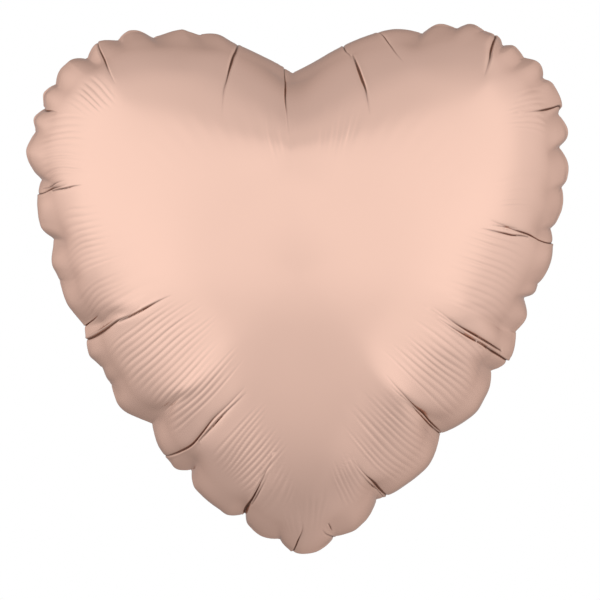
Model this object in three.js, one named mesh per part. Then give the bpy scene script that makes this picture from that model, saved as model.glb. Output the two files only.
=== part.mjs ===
// Heart-shaped foil balloon, inflated, with its filling neck folded up behind it.
// Millimetres, +Z up. The heart's front faces -Y. The origin is the tie point:
// the place at the heart's bottom tip where a ribbon is knotted round the neck.
import * as THREE from 'three';

// ---------------------------------------------------------------- dimensions
const FLAT_WIDTH = 457;        // nominal 18 inch heart, measured flat before filling
const FILM_WALL = 0.8;         // foil wall; thick stand-in for 0.04 mm film
const SEAM_GAP = 0.3;          // half the gap between the two foils at the rim
const PUFF = 2.5;              // how far the scalloped rim stands out of its mean line
const HEART_CENTRE = [-4, 195]; // x, z of the middle that all sections run to
const SPOKES = 96;             // sections round the heart
const RINGS = [0, 0.07, 0.15, 0.25, 0.36, 0.48, 0.61, 0.75, 0.88]; // rim to middle

const SEAL_GAP = 0.35;         // edge seal stands this far off the rim
const SEAL_THICK = 0.8;        // two films welded together
const SEAL_WIDTH = 5.5;        // width of the weld, folded back over the rear foil

const NECK_WIDTH = 32;         // filling neck, flat
const NECK_FILM = 0.45;        // neck film; stand-in for 0.04 mm
const VALVE_FILM = 0.35;       // valve film; stand-in for 0.025 mm
const LAYER_GAP = 0.35;        // air between the layers of the neck
const VALVE_WIDTH = 24;        // flat valve tube
const VALVE_TOP = 92;          // height the valve reaches inside the heart
const VALVE_FOOT = 4.2;        // where it starts, just inside the rim

// Mean rim line of the inflated heart, x and z, clockwise from the cleft.
const RIM = [
  [-8.2, 335.7], [13.2, 348.4], [35.5, 359.1], [59.5, 365.5], [84.2, 367.8], [108.9, 368.7],
  [132.5, 361.6], [153.4, 348.1], [170.1, 330.0], [179.0, 306.9], [181.3, 282.2], [180.7, 257.5],
  [175.8, 233.1], [170.6, 208.9], [161.0, 186.0], [151.5, 163.1], [141.8, 140.3], [129.2, 119.0],
  [115.2, 98.5], [97.3, 81.4], [82.6, 61.4], [64.1, 44.9], [45.1, 29.0], [25.7, 13.6],
  [2.8, 4.3], [-21.0, 9.7], [-42.4, 22.3], [-63.5, 35.3], [-81.1, 52.7], [-97.9, 71.0],
  [-113.1, 90.6], [-130.3, 108.4], [-143.3, 129.5], [-154.3, 151.8], [-164.9, 174.2], [-174.0, 197.3],
  [-180.6, 221.2], [-186.6, 245.3], [-190.4, 269.8], [-190.5, 294.4], [-182.5, 317.9], [-168.7, 338.4],
  [-148.8, 353.0], [-125.9, 362.4], [-101.2, 364.5], [-76.4, 364.1], [-52.4, 358.2], [-29.8, 347.9],
];

// Half depth of the heart. Columns: station s = sqrt(1 - r/R), r measured from the
// middle to the rim R. Rows: direction from the middle, every 20 degrees from straight
// down (0) to straight up into the cleft (180); both sides alike.
const STATIONS = [0, 0.15, 0.3, 0.45, 0.6, 0.75, 0.9, 1];
const HALF_DEPTH = [
  [0, 12.5, 34.2, 57.7, 74.8, 88.9, 98.5, 102.5],
  [0, 12.9, 34.3, 58.8, 77.8, 91.0, 98.9, 102.5],
  [0, 13.3, 34.5, 60.9, 81.4, 93.0, 99.5, 102.5],
  [0, 12.9, 34.1, 62.2, 80.9, 93.3, 99.9, 102.5],
  [0, 11.8, 32.2, 61.8, 81.7, 93.8, 100.3, 102.5],
  [0, 12.0, 34.1, 61.5, 80.7, 93.4, 100.6, 102.5],
  [0, 12.9, 36.6, 60.2, 77.7, 91.8, 101.0, 102.5],
  [0, 12.7, 34.5, 58.3, 76.3, 92.8, 101.9, 102.5],
  [0, 11.7, 30.2, 58.3, 81.1, 98.3, 102.7, 102.9],
  [0, 11.2, 28.3, 60.6, 89.6, 102.2, 102.9, 102.9],
];

// Neck's centre line in the Y-Z plane, from the fold line back and up behind the rear
// foil: a short straight, one long bend, and a flat straight end with the mouth.
const NECK = {
  y: 1.2, z: -2.4,             // start, just behind the fold line
  rise: 17,                    // degrees above level at the start
  root: 6,                     // length of the first straight
  bend: 29, radius: 120,       // degrees turned, and the radius
  flat: 22,                    // length of the flat end
};

// ------------------------------------------------------------------- helpers
const rimCurve = new THREE.CatmullRomCurve3(RIM.map(([x, z]) => new THREE.Vector3(x, 0, z)), true, 'centripetal');

// Points of the rim line moved outward by `out`, evenly spaced along the line.
function rimPoints(count, out) {
  const p = rimCurve.getSpacedPoints(count).slice(0, count);
  return p.map((q, i) => {
    const t = p[(i + 1) % count].clone().sub(p[(i + count - 1) % count]).normalize();
    return new THREE.Vector2(q.x - t.z * out, q.z + t.x * out);
  });
}

function pchip(xs, ys, x) {
  let i = 0;
  while (i < xs.length - 2 && x > xs[i + 1]) i++;
  const slope = (k) => {
    if (k === 0) return (ys[1] - ys[0]) / (xs[1] - xs[0]);
    const n = xs.length - 1;
    if (k === n) return (ys[n] - ys[n - 1]) / (xs[n] - xs[n - 1]);
    const a = (ys[k] - ys[k - 1]) / (xs[k] - xs[k - 1]);
    const b = (ys[k + 1] - ys[k]) / (xs[k + 1] - xs[k]);
    return a * b <= 0 ? 0 : (2 * a * b) / (a + b);
  };
  const h = xs[i + 1] - xs[i];
  const t = (x - xs[i]) / h;
  const h00 = 2 * t ** 3 - 3 * t ** 2 + 1, h10 = t ** 3 - 2 * t ** 2 + t;
  const h01 = -2 * t ** 3 + 3 * t ** 2, h11 = t ** 3 - t ** 2;
  return h00 * ys[i] + h10 * h * slope(i) + h01 * ys[i + 1] + h11 * h * slope(i + 1);
}

function halfDepth(x, z, s) {
  const fromDown = Math.abs(Math.atan2(x - HEART_CENTRE[0], HEART_CENTRE[1] - z)) * 180 / Math.PI;
  const k = Math.min(fromDown / 20, HALF_DEPTH.length - 1.000001);
  const i = Math.floor(k), f = k - i;
  return pchip(STATIONS, HALF_DEPTH[i], s) * (1 - f) + pchip(STATIONS, HALF_DEPTH[i + 1], s) * f;
}

// One bowl of foil: outer skin and inner skin joined by a narrow flat rim.
function foilShell(side) {
  const rim = rimPoints(SPOKES, PUFF);
  const pos = [];
  for (const s of RINGS) {
    for (const p of rim) {
      const r = 1 - s * s;
      const x = HEART_CENTRE[0] + r * (p.x - HEART_CENTRE[0]);
      const z = HEART_CENTRE[1] + r * (p.y - HEART_CENTRE[1]);
      pos.push([x, SEAM_GAP + halfDepth(p.x, p.y, s), z]);
    }
  }
  const pole = pos.length;
  pos.push([HEART_CENTRE[0], SEAM_GAP + 102.7, HEART_CENTRE[1]]);
  const tri = [];
  const R = RINGS.length;
  for (let j = 0; j < R - 1; j++) {
    for (let i = 0; i < SPOKES; i++) {
      const a = j * SPOKES + i, b = j * SPOKES + (i + 1) % SPOKES;
      const c = a + SPOKES, d = b + SPOKES;
      tri.push([a, b, d], [a, d, c]);
    }
  }
  for (let i = 0; i < SPOKES; i++) tri.push([(R - 1) * SPOKES + i, (R - 1) * SPOKES + (i + 1) % SPOKES, pole]);

  // vertex normals of the outer skin, then the inner skin one wall inside it
  const nor = pos.map(() => new THREE.Vector3());
  const v = (i) => new THREE.Vector3(...pos[i]);
  for (const [a, b, c] of tri) {
    const n = v(b).sub(v(a)).cross(v(c).sub(v(a)));
    nor[a].add(n); nor[b].add(n); nor[c].add(n);
  }
  const middle = new THREE.Vector3(HEART_CENTRE[0], 0, HEART_CENTRE[1]);
  const outward = nor[pole].dot(v(pole).sub(middle)) > 0 ? 1 : -1;
  const inner = pos.map((p, i) => {
    const n = nor[i].clone().normalize().multiplyScalar(outward);
    if (i < SPOKES) { n.y = 0; n.normalize(); }
    return [p[0] - n.x * FILM_WALL, p[1] - n.y * FILM_WALL, p[2] - n.z * FILM_WALL];
  });
  const all = pos.concat(inner);
  const off = pos.length;
  const faces = [];
  const put = (a, b, c) => faces.push(outward > 0 ? [a, b, c] : [a, c, b]);
  for (const [a, b, c] of tri) { put(a, b, c); put(a + off, c + off, b + off); }
  for (let i = 0; i < SPOKES; i++) {
    const a = i, b = (i + 1) % SPOKES;
    put(b, a, a + off); put(b, a + off, b + off);
  }
  const g = new THREE.BufferGeometry();
  const flat = new Float32Array(all.length * 3);
  all.forEach((p, i) => { flat[3 * i] = p[0]; flat[3 * i + 1] = side * p[1]; flat[3 * i + 2] = p[2]; });
  g.setAttribute('position', new THREE.BufferAttribute(flat, 3));
  g.setIndex((side > 0 ? faces : faces.map(([a, b, c]) => [a, c, b])).flat());
  return g;
}

// The welded edge: a belt round the rim, folded back over the rear foil.
function edgeSeal() {
  const inside = rimPoints(SPOKES, PUFF + SEAL_GAP);
  const outside = rimPoints(SPOKES, PUFF + SEAL_GAP + SEAL_THICK);
  const front = -SEAM_GAP, rear = SEAL_WIDTH - SEAM_GAP;
  const section = (i) => [
    [outside[i].x, front, outside[i].y], [outside[i].x, rear, outside[i].y],
    [inside[i].x, rear, inside[i].y], [inside[i].x, front, inside[i].y],
  ];
  const pos = [], index = [];
  for (let i = 0; i < SPOKES; i++) {
    pos.push(...section(i).flat());
    const a = 4 * i, b = 4 * ((i + 1) % SPOKES);
    for (let k = 0; k < 4; k++) {
      const n = (k + 1) % 4;
      index.push(a + k, b + k, b + n, a + k, b + n, a + n);
    }
  }
  const g = new THREE.BufferGeometry();
  g.setAttribute('position', new THREE.Float32BufferAttribute(pos, 3));
  g.setIndex(index);
  return g;
}

// Point and heading on the neck's centre line, `d` mm along it.
const RAD = Math.PI / 180;
const BEND_LENGTH = NECK.radius * NECK.bend * RAD;
const NECK_LENGTH = NECK.root + BEND_LENGTH + NECK.flat;
function neckAt(d) {
  const a0 = NECK.rise * RAD;
  const s0 = Math.min(d, NECK.root);
  let y = NECK.y + s0 * Math.cos(a0), z = NECK.z + s0 * Math.sin(a0), a = a0;
  if (d > NECK.root) {
    a = a0 + Math.min(d - NECK.root, BEND_LENGTH) / NECK.radius;
    y += NECK.radius * (Math.sin(a) - Math.sin(a0));
    z += NECK.radius * (Math.cos(a0) - Math.cos(a));
  }
  const rest = Math.max(0, d - NECK.root - BEND_LENGTH);
  return { y: y + rest * Math.cos(a), z: z + rest * Math.sin(a), a };
}

// A strip of film along the neck from `from` to `to` mm, `offset` towards the rear foil.
function neckStrip(offset, thick, width, from, to) {
  const at = [from];
  for (let k = 0; k <= 14; k++) at.push(NECK.root + BEND_LENGTH * k / 14);
  at.push(to);
  const line = at.map(neckAt);
  const edge = (h) => line.map((p) => new THREE.Vector2(p.y - Math.sin(p.a) * h, p.z + Math.cos(p.a) * h));
  const pts = edge(offset + thick / 2).concat(edge(offset - thick / 2).reverse());
  const g = new THREE.ExtrudeGeometry(new THREE.Shape(pts), { depth: width, bevelEnabled: false, steps: 1 });
  // the shape's axes are y and z, and its depth runs along x
  g.applyMatrix4(new THREE.Matrix4().makeBasis(new THREE.Vector3(0, 1, 0), new THREE.Vector3(0, 0, 1), new THREE.Vector3(1, 0, 0)));
  g.translate(-width / 2, 0, 0);
  return g;
}

// A flat film standing inside the heart, square-footed with a rounded top.
function valveFilm(y) {
  const w = VALVE_WIDTH / 2, r = 6;
  const s = new THREE.Shape();
  s.moveTo(-w, VALVE_FOOT + 4);
  s.lineTo(-w + 4, VALVE_FOOT);
  s.lineTo(w - 4, VALVE_FOOT);
  s.lineTo(w, VALVE_FOOT + 4);
  s.lineTo(w, VALVE_TOP - r);
  s.quadraticCurveTo(w, VALVE_TOP, w - r, VALVE_TOP);
  s.lineTo(-w + r, VALVE_TOP);
  s.quadraticCurveTo(-w, VALVE_TOP, -w, VALVE_TOP - r);
  s.closePath();
  const g = new THREE.ExtrudeGeometry(s, { depth: VALVE_FILM, bevelEnabled: false, steps: 1, curveSegments: 5 });
  g.rotateX(Math.PI / 2);
  g.translate(0, y + VALVE_FILM / 2, 0);
  return g;
}

// ----------------------------------------------------------------- materials
const foil = (r, g, b) => new THREE.MeshStandardMaterial({ color: new THREE.Color(r, g, b), roughness: 0.35, metalness: 0.9 });
const clearFilm = () => new THREE.MeshStandardMaterial({ color: new THREE.Color(0.82, 0.84, 0.86), roughness: 0.4, metalness: 0 });

// ------------------------------------------------------------------ assembly
const balloon = new THREE.Group();
function add(parent, name, geometry, material) {
  const m = new THREE.Mesh(geometry, material);
  m.name = name;
  parent.add(m);
  return m;
}

const heart = new THREE.Group();
balloon.add(heart);
add(heart, 'front_foil', foilShell(-1), foil(0.93, 0.72, 0.62));
add(heart, 'rear_foil', foilShell(1), foil(0.91, 0.7, 0.6));
add(heart, 'edge_seal', edgeSeal(), foil(0.85, 0.62, 0.53));
add(heart, 'valve_front_film', valveFilm(-(LAYER_GAP + VALVE_FILM) / 2), clearFilm());
add(heart, 'valve_rear_film', valveFilm((LAYER_GAP + VALVE_FILM) / 2), clearFilm());

// Folded up behind the heart, the neck's front film is the outermost layer.
const neck = new THREE.Group();
balloon.add(neck);
const inlet = (LAYER_GAP + VALVE_FILM) / 2;
const wall = inlet + VALVE_FILM / 2 + LAYER_GAP + NECK_FILM / 2;
add(neck, 'neck_rear_film', neckStrip(wall, NECK_FILM, NECK_WIDTH, 0, NECK_LENGTH), foil(0.9, 0.69, 0.6));
add(neck, 'inlet_rear_film', neckStrip(inlet, VALVE_FILM, VALVE_WIDTH, 2, NECK_LENGTH - 5), clearFilm());
add(neck, 'inlet_front_film', neckStrip(-inlet, VALVE_FILM, VALVE_WIDTH, 2, NECK_LENGTH - 9), clearFilm());
add(neck, 'neck_front_film', neckStrip(-wall, NECK_FILM, NECK_WIDTH, 0, NECK_LENGTH), foil(0.92, 0.71, 0.61));

export default balloon;
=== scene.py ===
"""Looks of a heart-shaped foil balloon: two films of satin rose-gold foil, welded at the rim and full of gas.
Lengths are in mm in the making and metres in Blender; x is to the right, y to the rear, z up."""
import math

import bpy
import numpy as np
from mathutils.geometry import delaunay_2d_cdt
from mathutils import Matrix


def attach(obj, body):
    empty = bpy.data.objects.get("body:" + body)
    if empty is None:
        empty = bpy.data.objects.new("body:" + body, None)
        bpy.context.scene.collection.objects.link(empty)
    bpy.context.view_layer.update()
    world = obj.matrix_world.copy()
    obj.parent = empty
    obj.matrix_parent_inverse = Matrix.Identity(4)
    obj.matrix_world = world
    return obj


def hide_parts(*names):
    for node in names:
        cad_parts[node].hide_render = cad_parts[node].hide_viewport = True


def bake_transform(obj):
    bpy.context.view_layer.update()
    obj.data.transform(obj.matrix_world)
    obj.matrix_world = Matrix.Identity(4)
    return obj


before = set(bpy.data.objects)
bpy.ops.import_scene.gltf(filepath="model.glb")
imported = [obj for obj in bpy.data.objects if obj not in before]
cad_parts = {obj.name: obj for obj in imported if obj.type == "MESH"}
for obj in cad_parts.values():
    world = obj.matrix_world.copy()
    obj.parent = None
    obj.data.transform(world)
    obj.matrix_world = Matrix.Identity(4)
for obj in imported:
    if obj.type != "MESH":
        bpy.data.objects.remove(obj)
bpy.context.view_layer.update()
MM = 0.001
CX, CZ = -4.0, 195.0             # middle of the heart
CAMERA_AWAY = 1575.0             # from the camera to the plane of the weld
VIEW_X, VIEW_Z = -4.0, 177.8     # where the camera looks

# ------------------------------------------------------------------ measured tables, mm
# Cosine series of the flat cut's radius about the middle, from straight up.
PATTERN = [
    227.712, 15.649, -1.224, -20.486, -6.290, -4.709, 1.030, -0.651, 0.047,
    -0.512, -0.256, -0.573, 0.453, -0.560, -0.305, -0.231, -0.185, -0.212,
    -0.061, 0.213, 0.270, -0.193, 0.070, -0.080, -0.177, -0.109,
]
# The blown-up outline: each pleat's place at the rim, then how far the film stands out from the chord to
# the next pleat at every sixth of it. Clockwise from the top of the right lobe.
SCALLOPS = [
    (81.5, 364.4, 2.1, 4.1, 4.9, 4.2, 2.2), (105.8, 367.9, 1.6, 3.4, 3.9, 3.3, 1.7),
    (125.4, 366.3, 0.9, 2, 2.7, 3, 2), (137.7, 355.8, 1.9, 3.6, 3.7, 2.7, 1.5),
    (152.9, 347.4, 2.4, 4.5, 5.4, 4.8, 3), (166.1, 332.6, 4.4, 5.5, 5.9, 5.9, 4.7),
    (176.6, 308.3, 2.8, 5.3, 6.7, 6.5, 4.5), (177.1, 285.2, 2.8, 5, 5.8, 5.3, 3.7),
    (179.2, 256.8, 2.3, 3.7, 4.1, 3.6, 2.5), (171.4, 227.8, 2.9, 4.6, 5.4, 4.9, 3.2),
    (162.7, 189.4, 1.2, 2.4, 2.7, 2.2, 1), (152.6, 179.3, 2.1, 4, 5, 4.3, 2.3),
    (147.2, 156, 3.1, 5.5, 6.8, 6.1, 4), (129.7, 128.5, 6.5, 9, 10.4, 8.5, 5.1),
    (93.9, 84.1, 6.3, 9.7, 9.4, 7.7, 5.1), (49.5, 38.2, 3.5, 5.6, 6.2, 6, 3.5),
    (20.4, 12.3, 6.3, 10, 11.3, 10.9, 7.8), (-18.5, 10.7, 3.6, 5.7, 6.3, 5.8, 4.5),
    (-42.4, 28.4, 8.2, 9.3, 9.8, 9.4, 7.7), (-79.9, 59, 7.6, 7.9, 7.8, 6.7, 3.9),
    (-107.5, 91.3, 2.6, 5.2, 7.1, 6.9, 3.8), (-136.2, 118.8, 0.1, 0.5, 0.5, 0.2, -0.1),
    (-142.9, 130.9, 2.4, 4.7, 4.2, 3, 1.6), (-154.8, 159.6, 1.2, 2.4, 3.3, 2.8, 1.5),
    (-172.4, 192, 1.6, 3.3, 3.4, 2.2, 0.7), (-176.7, 221.3, 6.1, 7.4, 7, 5.9, 3.5),
    (-184.9, 262.6, 4.2, 6.7, 8.1, 7.8, 4.5), (-189.2, 295.5, 1.3, 3.6, 4.5, 3.5, 1.7),
    (-182.8, 312.2, 2.3, 4.1, 5.1, 4.1, 2.3), (-174.9, 329, 4.1, 6.2, 6.6, 6.6, 4.3),
    (-152.8, 346.6, 3.3, 5.5, 6.3, 5.2, 2.8), (-131.5, 359.4, 4, 6.2, 6.3, 5.1, 2.7),
    (-107.2, 361.5, 1.3, 2.8, 4, 4.3, 2.1), (-74.8, 363.4, 5.3, 4.3, 3.9, 3.2, 2.2),
    (-9.5, 336.6, 2.8, 6.5, 9, 9.8, 8.1),
]
# Folds in the front film, from the rim inwards: depth at the outer and inner end, width, and the path.
FOLDS = [
    (0.5, 1.5, 0.3, 1, True, [(-146.1, 357), (-145, 354.2), (-142.2, 348.2), (-139.1, 340.9), (-132.8, 328.3)]),
    (0.5, 1.9, 0.3, 1.2, True, [(-48.1, 355.6), (-49.5, 350.7), (-52.3, 343), (-55.1, 333.2), (-57.5, 323.4), (-58.6, 307.3)]),
    (0.5, 2.1, 0.3, 1.25, True, [(-14.4, 339.5), (-14.4, 333.2), (-14.1, 321.3), (-13.4, 309.4), (-12.7, 299.6), (-11.7, 294)]),
    (0.9, 0.9, 0.3, 0.8, True, [(24.7, 357), (27.5, 352.8), (30.3, 350), (32.4, 345.8)]),
    (0.5, 1.9, 0.3, 1.15, False, [(32.8, 349.6), (35.9, 342.3), (39.1, 333.9), (42.2, 324.8), (45, 307.3)]),
    (0.7, 1.3, 0.3, 0.9, True, [(52, 366.1), (53.4, 364), (58.3, 357.7), (63.2, 350.7), (68.8, 343.7)]),
    (0.8, 1.7, 0.35, 1, True, [(133.6, 364.7), (132.9, 361.2), (129.7, 350.7), (127.6, 342.3), (124.8, 333.9)]),
    (1.2, 1.5, 0.3, 0.9, True, [(180.1, 314.3), (178, 313.6), (172.4, 312.2), (162.6, 310.4), (152.1, 308.7)]),
    (1.2, 1.8, 0.5, 0.95, True, [(171.7, 217), (168.9, 218), (160.5, 221.5), (152.1, 225), (143, 228.2), (128.3, 234.5)]),
    (0.5, 1.1, 0.3, 0.8, False, [(155.6, 221.9), (146.5, 222.9), (139.5, 224.3), (122, 228.2)]),
    (0.3, 0.7, 0.2, 0.7, False, [(147.9, 227.5), (138.8, 229.2), (129, 230.3)]),
    (1.8, 2, 0.9, 1, True, [(143.7, 133), (141.6, 134.4), (135.3, 138.9), (128.3, 143.5), (120.6, 148.8)]),
    (0.8, 1.9, 0.3, 0.95, False, [(136.7, 142.4), (129, 147), (122, 151.2), (106.6, 160.3), (89.1, 173.2)]),
    (0.5, 1.2, 0.3, 0.8, False, [(126.9, 144.2), (116.4, 150.5), (104.5, 157.5), (92.6, 165.2)]),
    (0.3, 1.2, 0.5, 0.9, True, [(97.5, 82.6), (94.7, 85), (89.8, 89.6), (80, 100.1), (70.2, 109.9), (55.5, 126)]),
    (0.8, 1.3, 0.3, 0.8, False, [(92.6, 86.1), (83.5, 93.8), (74.4, 103.9), (66.7, 110.6), (59, 117.6)]),
    (1, 1.6, 0.4, 0.9, True, [(58.7, 37.1), (56.9, 38.8), (51.3, 45.5), (45, 52.5), (32.4, 66.1)]),
    (0.5, 1.1, 0.3, 0.7, False, [(54.1, 39.9), (47.8, 46.9), (40.8, 53.9), (35.9, 59.5)]),
    (1, 1.2, 0.3, 0.8, True, [(-9.6, 0.7), (-8.2, 2.8), (-5.4, 9.1), (-2.6, 15.4), (-1.9, 22.4)]),
    (0.9, 0.9, 0.3, 0.8, True, [(21.2, 11.9), (19.1, 12), (17, 12.6), (14.2, 14), (11.4, 17.5)]),
    (0.5, 0.8, 0.3, 0.7, False, [(16.1, 21), (17.7, 18.2), (19.1, 15.4)]),
    (1.2, 1.9, 0.4, 0.95, True, [(-44.6, 28), (-43.2, 30.1), (-39, 36.4), (-34.8, 43.4), (-28.5, 56), (-22.5, 67.9)]),
    (0.4, 0.9, 0.2, 0.7, False, [(-38.3, 34.3), (-33.4, 42), (-29.2, 49.7), (-25.7, 56)]),
    (0.5, 1.7, 0.5, 0.9, True, [(-97.1, 68.2), (-94.3, 69), (-88, 71.4), (-80.6, 75.6), (-72.6, 84.7), (-64.9, 94.5), (-54.4, 104.3), (-41.8, 117.6)]),
    (0.5, 1.2, 0.3, 0.75, False, [(-74.7, 79.1), (-65.6, 88.9), (-55.8, 99.4), (-41.1, 113.4)]),
    (0.8, 2.2, 0.6, 1, True, [(-153.8, 149.4), (-151, 151.2), (-145.4, 154.3), (-140.1, 157.8), (-133.5, 162.4), (-125.8, 166.2), (-116, 172.2)]),
    (0.5, 1.6, 0.3, 0.85, False, [(-131.4, 162.4), (-123, 166.2), (-111.8, 172.2), (-101.3, 177.8), (-93.6, 181.3)]),
    (0.8, 1.6, 0.4, 0.95, True, [(-188.8, 251.6), (-186.7, 252.3), (-179.7, 254.8), (-172.3, 257.2), (-166.4, 259)]),
    (0.5, 1, 0.3, 0.7, False, [(-177.2, 254.1), (-169.2, 255.8), (-161.5, 257.6), (-155.9, 258.6)]),
    (0.3, 0.8, 0.2, 0.7, False, [(-183.2, 256.2), (-176.2, 259), (-167.8, 261.4)]),
    (1, 0.9, 0.3, 0.8, True, [(-183.9, 311.1), (-182.5, 310.8), (-177.6, 310.1), (-173.4, 309)]),
    (1, 0.9, 0.3, 0.8, True, [(-155.9, 159.2), (-154.5, 159.6), (-149.6, 163.1), (-144.7, 168)]),
]
# Fields of fine ripples: outer and inner end of the first and the last ripple, how many, and how high.
RIPPLES = [
    ([(-141.2, 144.9), (-76.8, 190.4), (-92.2, 79.8), (-26.4, 145.6)], 20, 0.5),
    ([(-69.8, 68.6), (-29.2, 116.2), (-43.2, 39.2), (-4, 84)], 12, 0.42),
    ([(133.2, 134.4), (75.8, 182.7), (100.3, 93.1), (46.4, 144.2)], 13, 0.52),
    ([(94, 81.2), (40.8, 135.8), (62.5, 46.2), (21.2, 91)], 12, 0.48),
    ([(159.8, 212.8), (94, 236.6), (143, 148.4), (80, 182.7)], 13, 0.42),
    ([(-181.8, 308), (-142.6, 305.2), (-181.8, 257.6), (-142.6, 261.8)], 10, 0.5),
    ([(-170.6, 315), (-145.4, 296.8), (-148.9, 337.4), (-127.2, 315)], 7, 0.42),
    ([(166.1, 329), (136, 319.2), (169.6, 289.8), (137.4, 295.4)], 8, 0.5),
    ([(-36.2, 317.8), (-26.4, 260.4), (46.4, 319.2), (33.8, 260.4)], 18, 0.2),
    ([(-12.4, 11.2), (-25, 51.8), (11.4, 15.4), (19.8, 51.8)], 7, 0.24),
    ([(-165, 177.8), (-116, 205.8), (-149.6, 155.4), (-95, 187.6)], 7, 0.3),
    ([(50.6, 47.6), (24, 84), (27.5, 29.4), (14.2, 67.2)], 7, 0.28),
    ([(167.5, 272.3), (124.8, 267.4), (167.5, 232.4), (123.4, 238)], 8, 0.4),
    ([(-173.4, 238), (-125.8, 249.2), (-166.4, 183.4), (-116, 208.6)], 11, 0.22),
    ([(-37.6, 33.6), (-11, 77), (-20.8, 16.8), (0.2, 58.8)], 5, 0.24),
]


def smooth(lo, hi, x):
    u = np.clip((np.asarray(x, float) - lo) / (hi - lo), 0, 1)
    return u * u * (3 - 2 * u)


def wobble(x, y, seed, octaves=3):
    """Smooth seeded noise of two coordinates, about -1..1, built of sines."""
    r = np.random.default_rng(seed)
    out = 0.0
    for k in range(octaves):
        for _ in range(4):
            a, p, f = r.uniform(0, 2 * np.pi), r.uniform(0, 2 * np.pi), (1.9 ** k) * r.uniform(0.7, 1.3)
            out = out + np.sin(2 * np.pi * f * (x * np.cos(a) + y * np.sin(a)) + p) * 0.42 * 0.6 ** k
    return out


# ------------------------------------------------------------------ the flat cut
RING_GAP, SPOKES = ((6.0, 256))


def cut_radius(a):
    return sum(c * np.cos(k * a) for k, c in enumerate(PATTERN))


def even(points, n):
    c = np.vstack([points, points[:1]])
    d = np.r_[0, np.cumsum(np.linalg.norm(np.diff(c, axis=0), axis=1))]
    t = np.arange(n) / n * d[-1]
    return np.stack([np.interp(t, d, c[:, k]) for k in range(points.shape[1])], 1)


CUT_ANGLE = np.linspace(0, 2 * np.pi, 5760, endpoint=False)
CUT = np.stack([CX + cut_radius(CUT_ANGLE) * np.sin(CUT_ANGLE), CZ + cut_radius(CUT_ANGLE) * np.cos(CUT_ANGLE)], 1)
CUT_ARC = np.r_[0, np.cumsum(np.linalg.norm(np.diff(np.vstack([CUT, CUT[:1]]), axis=0), axis=1))]
RIM_LENGTH = CUT_ARC[-1]
RINGS = int(round(cut_radius(np.linspace(0, 2 * np.pi, 90)).mean() / RING_GAP))


def arc_of(angle):
    return np.interp(np.mod(angle, 2 * np.pi), np.r_[CUT_ANGLE, 2 * np.pi], CUT_ARC / RIM_LENGTH)


def cut_point(arc, depth=0.0):
    """The flat point at a share of the rim's length, depth mm in towards the middle."""
    a = np.interp(np.mod(arc, 1.0), CUT_ARC / RIM_LENGTH, np.r_[CUT_ANGLE, 2 * np.pi])
    r = cut_radius(a) * (1 - np.asarray(depth) / cut_radius(a))
    return np.stack([CX + r * np.sin(a), CZ + r * np.cos(a)], -1)


def polar_of(p):
    """Share of the rim's length, share of the radius, and distance in from the rim along the radius, mm."""
    d = p - (CX, CZ)
    a = np.arctan2(d[:, 0], d[:, 1])
    rim, r = cut_radius(a), np.hypot(d[:, 0], d[:, 1])
    return arc_of(a), np.clip(r / rim, 0, 1), np.maximum(rim - r, 0)


# ------------------------------------------------------------------ blowing the films up
def film_grid():
    rim = even(CUT, SPOKES)
    plan, first, pts, tri = [], [], [], []
    for j in range(RINGS):
        n = SPOKES
        while n > 16 and (1 - j / RINGS) * SPOKES / n < 0.52:
            n //= 2
        plan.append(n)
        first.append(len(pts))
        pts += [(1 - j / RINGS) * (p - (CX, CZ)) + (CX, CZ) for p in rim[::SPOKES // n]]
    first.append(len(pts))
    pts.append(np.array((CX, CZ)))
    for j, n in enumerate(plan):
        a0 = first[j]
        if j + 1 == len(plan):
            tri += [(a0 + i, a0 + (i + 1) % n, first[-1]) for i in range(n)]
            continue
        m, b0 = plan[j + 1], first[j + 1]
        if m == n:
            for i in range(n):
                a, b, c, d = a0 + i, a0 + (i + 1) % n, b0 + i, b0 + (i + 1) % n
                tri += [(a, b, d), (a, d, c)] if (i + j) % 2 else [(a, b, c), (b, d, c)]
        else:
            for i in range(m):
                a, b, c = a0 + 2 * i, a0 + 2 * i + 1, a0 + (2 * i + 2) % n
                p, q = b0 + i, b0 + (i + 1) % m
                tri += [(a, b, p), (b, c, q), (b, q, p)]
    return np.array(pts), np.array(tri), plan


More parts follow.
